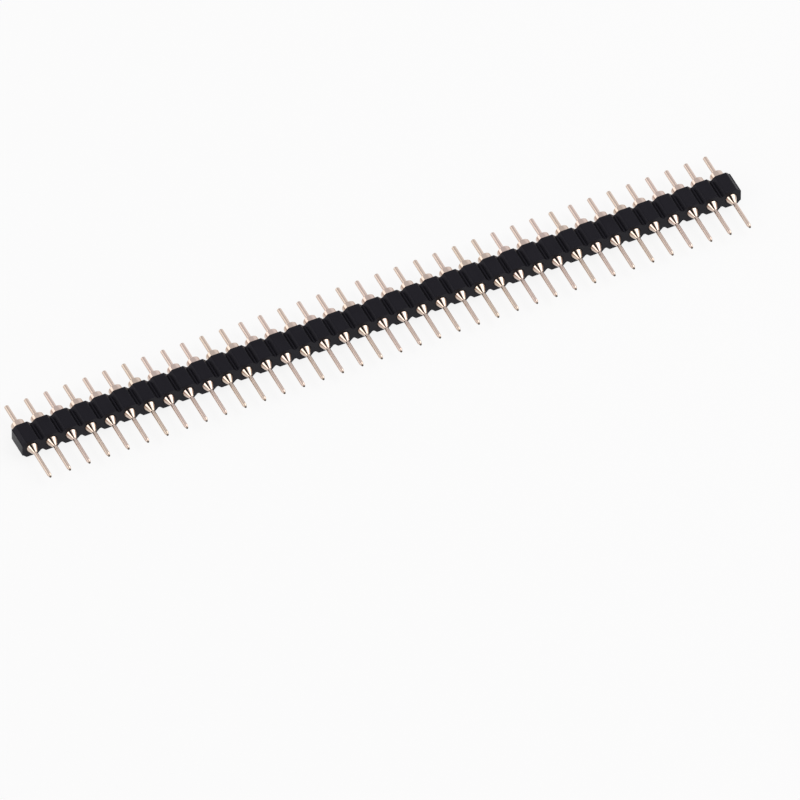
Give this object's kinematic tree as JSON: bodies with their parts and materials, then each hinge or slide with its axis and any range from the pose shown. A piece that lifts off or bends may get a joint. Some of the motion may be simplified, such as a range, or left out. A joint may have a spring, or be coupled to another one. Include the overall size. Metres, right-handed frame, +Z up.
{
  "type": "machined pin header strip",
  "caption": "Single-row header strip of turned round pins: thin tapered mating pins with cone bases on one side, collared thicker tail pins on the other, in a grooved break-off housing.",
  "frame": {"origin": "on the bench plane, at the middle of the housing flat that the strip rests on", "axes": "+X along the row from contact_01 to contact_37, -Y out along the thin mating pins, +Y out along the thick tail pins, +Z up through the thickness of the housing"},
  "size_m": [0.094, 0.0123, 0.0025],
  "materials": {
    "housing_plastic": "fine matt moulded surface of a glass-filled thermoplastic, black",
    "contact_plating": "turned copper alloy with a thin pale gold flash, polished on the cones"
  },
  "bodies": {
    "root": {"housing": "housing_plastic", "contact_01": "contact_plating", "contact_02": "contact_plating", "contact_03": "contact_plating", "contact_04": "contact_plating", "contact_05": "contact_plating", "contact_06": "contact_plating", "contact_07": "contact_plating", "contact_08": "contact_plating", "contact_09": "contact_plating", "contact_10": "contact_plating", "contact_11": "contact_plating", "contact_12": "contact_plating", "contact_13": "contact_plating", "contact_14": "contact_plating", "contact_15": "contact_plating", "contact_16": "contact_plating", "contact_17": "contact_plating", "contact_18": "contact_plating", "contact_19": "contact_plating", "contact_20": "contact_plating", "contact_21": "contact_plating", "contact_22": "contact_plating", "contact_23": "contact_plating", "contact_24": "contact_plating", "contact_25": "contact_plating", "contact_26": "contact_plating", "contact_27": "contact_plating", "contact_28": "contact_plating", "contact_29": "contact_plating", "contact_30": "contact_plating", "contact_31": "contact_plating", "contact_32": "contact_plating", "contact_33": "contact_plating", "contact_34": "contact_plating", "contact_35": "contact_plating", "contact_36": "contact_plating", "contact_37": "contact_plating"}
  },
  "joints": []
}
